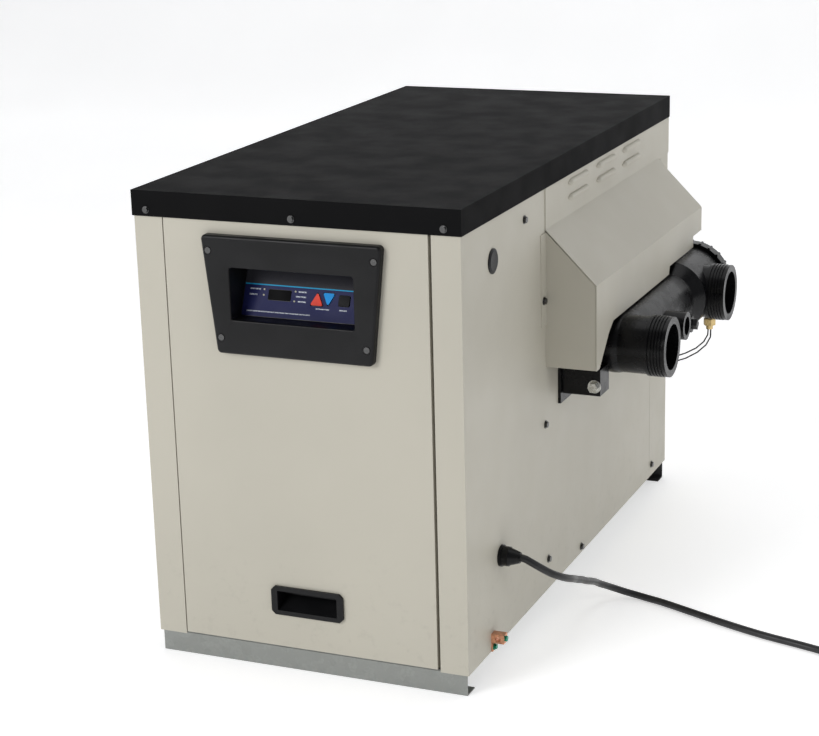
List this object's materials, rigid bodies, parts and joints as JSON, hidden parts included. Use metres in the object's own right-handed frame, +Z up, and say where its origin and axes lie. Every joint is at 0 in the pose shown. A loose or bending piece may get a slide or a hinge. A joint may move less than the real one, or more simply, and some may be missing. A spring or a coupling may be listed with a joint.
{
  "type": "pool and spa heater",
  "caption": "Floor-standing pool and spa heater: tall sheet-metal cabinet with a tilted keypad, lift-off front door, side water header under a louvred cover, and supply cord.",
  "frame": {"origin": "on the floor, at the centre of the four anchor holes in the base rails, which is the centre of the cabinet's footprint", "axes": "+X towards the water-connection side, +Y from the front door to the rear, +Z up"},
  "size_m": [1.009, 0.8932, 0.61],
  "materials": {
    "beige_paint": "satin powder coat, warm light grey",
    "black_paint": "fine-textured black powder coat",
    "galvanised": "galvanised, faint spangle",
    "dark_rail": "black paint on steel",
    "black_plastic": "moulded, fine grain, soft sheen",
    "header_plastic": "glass-filled moulding, low sheen",
    "keypad_grey": "dark grey moulding",
    "overlay_film": "printed polyester film: grey band, cyan stripe, navy field",
    "display": "smoked display window",
    "led": "small round lights, unlit",
    "red_key": "red silicone key",
    "blue_key": "blue silicone key",
    "black_key": "black silicone key",
    "dark_screw": "black-coated steel",
    "zinc_screw": "zinc-plated steel",
    "green_screw": "green bonding screw",
    "cord_jacket": "black cord jacket",
    "blade_brass": "worn plug blades",
    "copper": "copper, dull",
    "sensor_brass": "turned brass",
    "lead_black": "black insulated lead",
    "steel": "bare sheet steel",
    "dark_steel": "dark casting",
    "insulation": "ceramic fibre board",
    "aluminium": "die casting",
    "red_knob": "red moulded knob",
    "ceramic": "glazed insulator",
    "motor_paint": "dark grey paint",
    "spring_steel": "spring wire"
  },
  "bodies": {
    "cabinet": {"lid": "black_paint", "left_panel": "beige_paint", "right_panel": "beige_paint", "rear_panel": "beige_paint", "top_rail": "galvanised", "base_pan": "galvanised", "front_rail": "galvanised", "rear_rail": "dark_rail", "header_cover": "beige_paint", "cover_ends": "beige_paint", "lid_screws": "dark_screw", "panel_screws": "dark_screw", "hole_plugs": "black_plastic", "strain_relief": "black_plastic", "power_cord": "cord_jacket", "cord_coil": "cord_jacket", "cord_plug": "cord_jacket", "plug_blades": "blade_brass", "bonding_lug": "copper", "lug_screws": "green_screw", "header_body": "header_plastic", "header_flange": "header_plastic", "header_bolts": "zinc_screw", "bypass_cap": "header_plastic", "bypass_spring": "spring_steel", "drain_plug": "header_plastic", "temperature_sensor": "sensor_brass", "sensor_leads": "lead_black", "lead_grommet": "black_plastic", "heat_exchanger": "copper", "exchanger_fins": "copper", "return_header": "dark_steel", "combustion_chamber": "steel", "chamber_insulation": "insulation", "burner_tubes": "steel", "gas_manifold": "steel", "gas_valve": "aluminium", "gas_inlet_pipe": "dark_steel", "flame_igniter": "ceramic", "control_box": "motor_paint", "transformer": "motor_paint", "flue_collector": "steel", "blower_housing": "steel", "blower_motor": "motor_paint", "vent_collar": "steel", "pressure_switch": "motor_paint"},
    "door": {"front_door": "beige_paint", "control_bezel": "black_plastic", "keypad_panel": "keypad_grey", "keypad_overlay": "overlay_film", "display_window": "display", "indicator_lights": "led", "bezel_screws": "dark_screw", "door_handle": "black_plastic"},
    "up_button": {"up_button": "red_key"},
    "down_button": {"down_button": "blue_key"},
    "mode_button": {"mode_button": "black_key"},
    "gas_valve_knob": {"gas_valve_knob": "red_knob"},
    "blower_wheel": {"blower_wheel": "aluminium"},
    "bypass_valve": {"bypass_valve": "steel"}
  },
  "joints": [
    {"name": "door_tilt", "type": "hinge", "parent": "cabinet", "child": "door", "pos_m": [0, -0.422, 0.577], "axis": [-1, 0, 0], "range_deg": [0, 20]},
    {"name": "up_button_press", "type": "slide", "parent": "door", "child": "up_button", "axis": [0, 0.9135, -0.4067], "range_m": [0, 0.0008], "stiffness_N_per_m": 900},
    {"name": "down_button_press", "type": "slide", "parent": "door", "child": "down_button", "axis": [0, 0.9135, -0.4067], "range_m": [0, 0.0008], "stiffness_N_per_m": 900},
    {"name": "mode_button_press", "type": "slide", "parent": "door", "child": "mode_button", "axis": [0, 0.9135, -0.4067], "range_m": [0, 0.0008], "stiffness_N_per_m": 900},
    {"name": "gas_valve_turn", "type": "hinge", "parent": "cabinet", "child": "gas_valve_knob", "pos_m": [-0.026, -0.15, 0.185], "axis": [0, 0, 1], "range_deg": [0, 90]},
    {"name": "blower_spin", "type": "hinge", "parent": "cabinet", "child": "blower_wheel", "pos_m": [0, 0.13, 0.46], "axis": [0, 0, 1], "continuous": true},
    {"name": "bypass_lift", "type": "slide", "parent": "cabinet", "child": "bypass_valve", "axis": [0, 1, 0], "range_m": [0, 0.012], "stiffness_N_per_m": 400, "deforming": ["bypass_spring"]}
  ]
}
